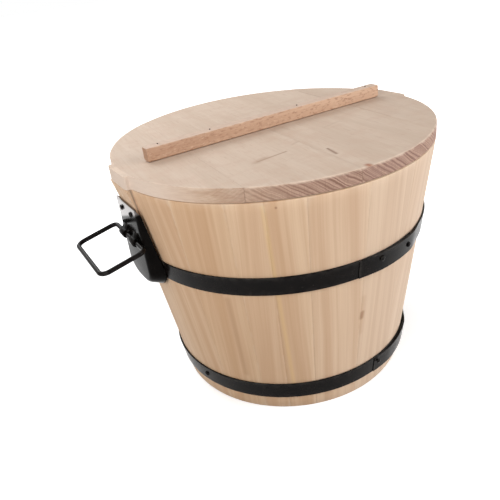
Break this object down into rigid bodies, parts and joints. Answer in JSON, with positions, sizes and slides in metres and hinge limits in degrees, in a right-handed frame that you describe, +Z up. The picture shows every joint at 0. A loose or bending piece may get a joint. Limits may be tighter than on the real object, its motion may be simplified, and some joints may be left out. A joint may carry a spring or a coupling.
{
  "type": "lidded wooden rice tub",
  "caption": "Coopered wooden rice tub with iron hoops, a flat lid with a cross bar, and a hinged wire bail on a plate at each end.",
  "frame": {"origin": "centre of the flat underside of the middle bottom board, on the tub's axis; the staves' feet stand 12 mm lower", "axes": "+Z up along the tub's axis, +X through the right handle and along the lid's bar, +Y completes the right-handed set"},
  "size_m": [0.2361, 0.2, 0.1701],
  "materials": {
    "pale_wood": "planed, bare",
    "lid_wood": "planed, bare, end grain on the rim",
    "bar_wood": "sawn, bare",
    "black_iron": "black, satin"
  },
  "bodies": {
    "tub": {"stave_01": "pale_wood", "stave_02": "pale_wood", "stave_03": "pale_wood", "stave_04": "pale_wood", "stave_05": "pale_wood", "stave_06": "pale_wood", "stave_07": "pale_wood", "stave_08": "pale_wood", "stave_09": "pale_wood", "stave_10": "pale_wood", "stave_11": "pale_wood", "stave_12": "pale_wood", "stave_13": "pale_wood", "stave_14": "pale_wood", "stave_15": "pale_wood", "stave_16": "pale_wood", "stave_17": "pale_wood", "stave_18": "pale_wood", "stave_19": "pale_wood", "stave_20": "pale_wood", "handle_stave_left": "pale_wood", "handle_stave_right": "pale_wood", "bottom_board_1": "pale_wood", "bottom_board_2": "pale_wood", "bottom_board_3": "pale_wood", "hoop_upper": "black_iron", "hoop_lower": "black_iron", "hoop_upper_nails_1": "black_iron", "hoop_upper_nails_2": "black_iron", "hoop_upper_nails_3": "black_iron", "hoop_upper_nails_4": "black_iron", "hoop_lower_nails_1": "black_iron", "hoop_lower_nails_2": "black_iron", "hoop_lower_nails_3": "black_iron", "hoop_lower_nails_4": "black_iron", "handle_plate_left": "black_iron", "handle_plate_right": "black_iron", "plate_nails_left_1": "black_iron", "plate_nails_left_2": "black_iron", "plate_nails_left_3": "black_iron", "plate_nails_right_1": "black_iron", "plate_nails_right_2": "black_iron", "plate_nails_right_3": "black_iron"},
    "lid": {"lid_board_1": "lid_wood", "lid_board_2": "lid_wood", "lid_board_3": "lid_wood", "lid_board_4": "lid_wood", "lid_bar": "bar_wood", "bar_nail_1": "black_iron", "bar_nail_2": "black_iron", "bar_nail_3": "black_iron", "bar_nail_4": "black_iron"},
    "bail_left": {"bail_left": "black_iron"},
    "bail_right": {"bail_right": "black_iron"}
  },
  "joints": [
    {"name": "lid_lift", "type": "slide", "parent": "tub", "child": "lid", "axis": [0, 0, 1], "range_m": [0, 0.1]},
    {"name": "bail_left_swing", "type": "hinge", "parent": "tub", "child": "bail_left", "pos_m": [-0.10289, 0, 0.1085], "axis": [0, 1, 0], "range_deg": [-78, 86]},
    {"name": "bail_right_swing", "type": "hinge", "parent": "tub", "child": "bail_right", "pos_m": [0.10289, 0, 0.1085], "axis": [0, -1, 0], "range_deg": [0, 165]}
  ]
}
